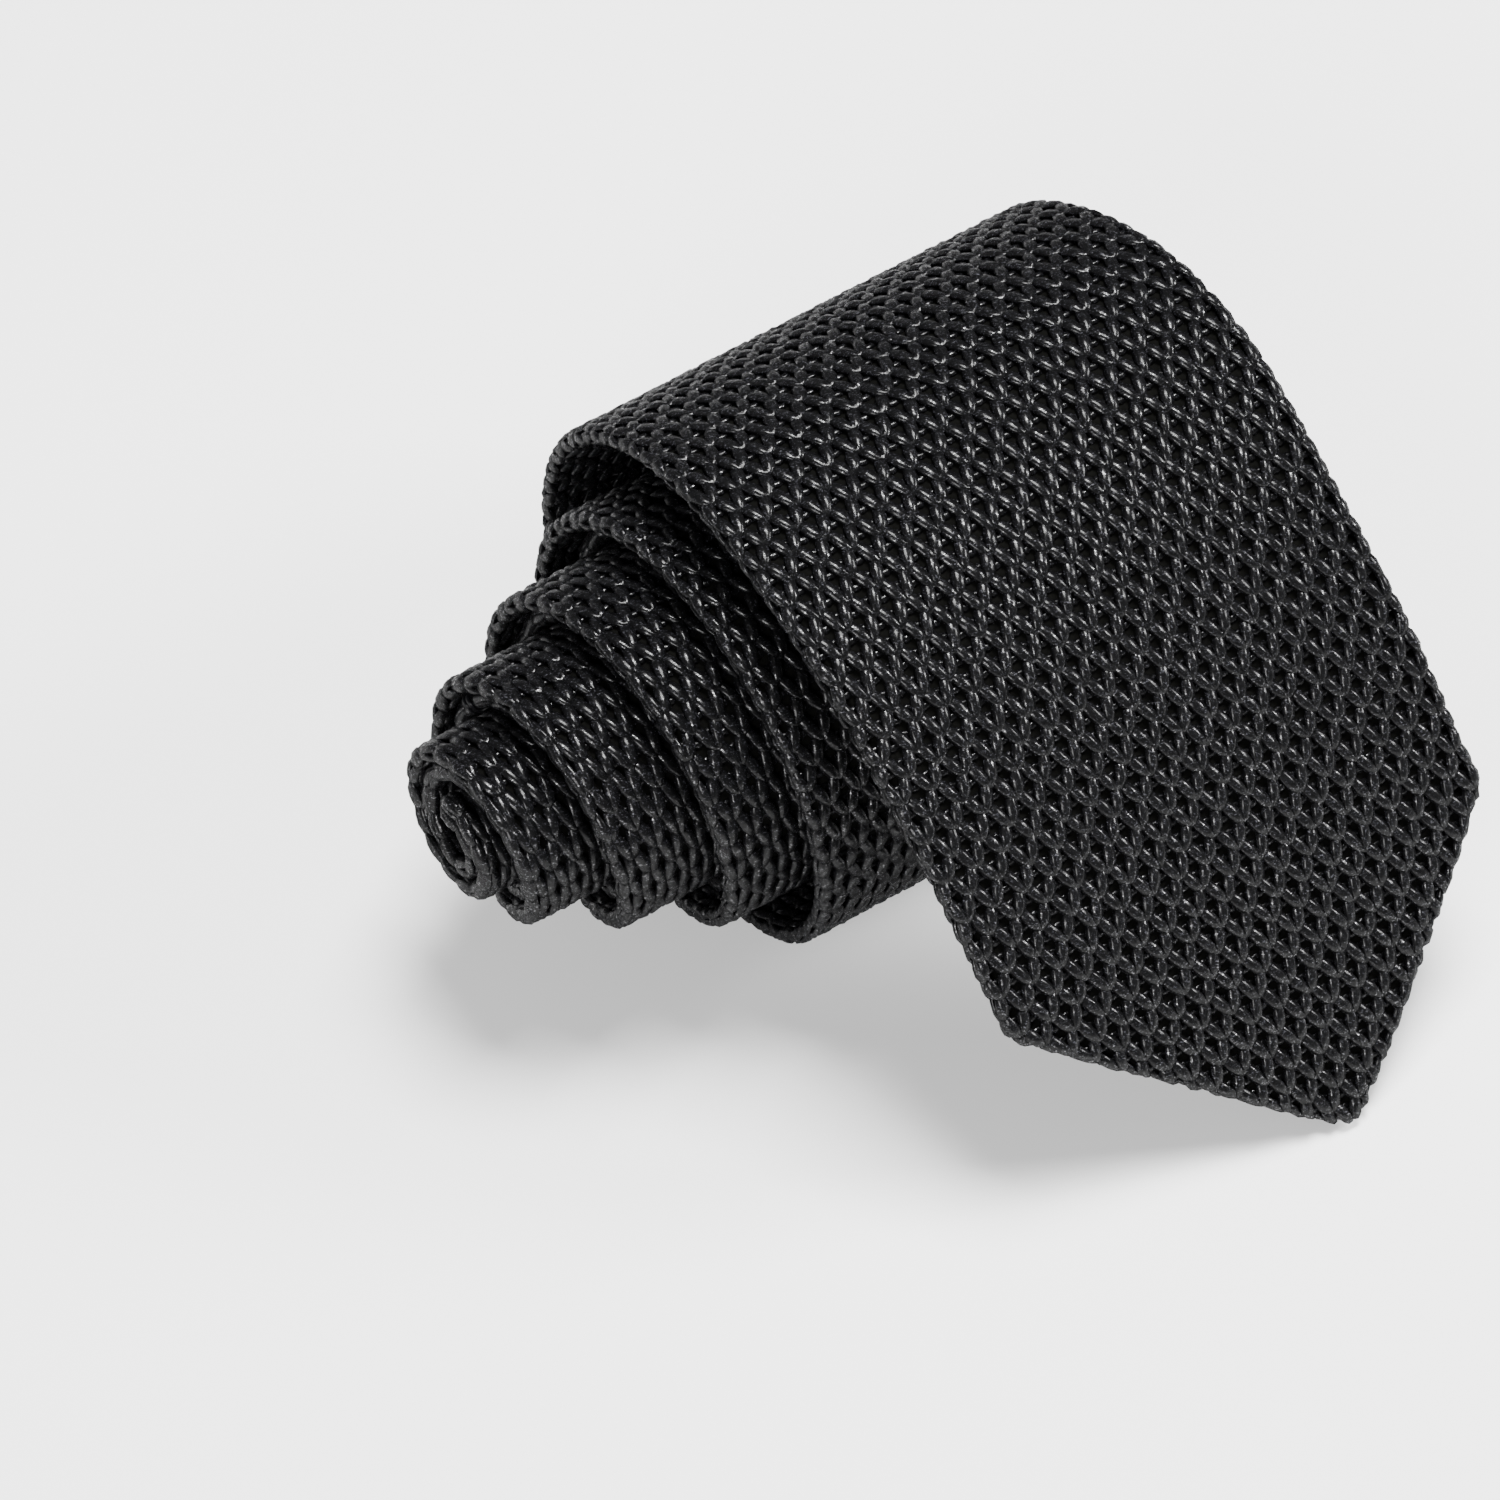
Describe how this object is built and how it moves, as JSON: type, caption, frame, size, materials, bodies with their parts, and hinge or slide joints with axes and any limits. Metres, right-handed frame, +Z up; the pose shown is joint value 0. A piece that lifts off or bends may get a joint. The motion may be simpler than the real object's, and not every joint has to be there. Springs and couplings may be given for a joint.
{
  "type": "necktie",
  "caption": "Rolled-up knitted necktie with a pointed blade: folded in half, rolled from the neck, the free blade arching forward to the table.",
  "frame": {"origin": "middle of the footprint, on the surface the rolled tie stands on", "axes": "+X along the roll's axis away from the protruding core, -Y the way the free blade runs, +Z up"},
  "size_m": [0.1026, 0.1024, 0.0652],
  "materials": {
    "knit": "matt charcoal-black fine-filament yarn, open bias knit",
    "lining": "smooth black twill with a soft sheen",
    "interlining": "matt dark wool felted cloth",
    "thread": "matt black sewing thread",
    "label": "blank black woven satin"
  },
  "bodies": {
    "roll": {"rolled_blade_knit": "knit", "neck_knit": "knit", "tail_knit": "knit", "keeper_loop": "knit", "rolled_interlining": "interlining", "tail_lining": "lining", "blade_neck_seam": "thread", "neck_tail_seam": "thread", "rolled_slip_stitch": "thread", "tail_bar_tack": "thread", "keeper_stitch_left": "thread", "keeper_stitch_right": "thread", "blank_label": "label"},
    "blade": {"blade_knit": "knit", "blade_interlining": "interlining", "blade_slip_stitch": "thread", "blade_bar_tack": "thread"},
    "tip": {"tip_knit": "knit", "tip_interlining": "interlining", "tip_lining": "lining", "tip_stitches_left": "thread", "tip_stitches_right": "thread"}
  },
  "joints": [
    {"name": "blade_lift", "type": "hinge", "parent": "roll", "child": "blade", "pos_m": [0.0129, 0.01886, 0.06518], "axis": [-1, 0, 0], "range_deg": [0, 70]},
    {"name": "tip_lift", "type": "hinge", "parent": "blade", "child": "tip", "pos_m": [0.0189, -0.03436, 0.02716], "axis": [-1, 0, 0], "range_deg": [0, 60]}
  ]
}
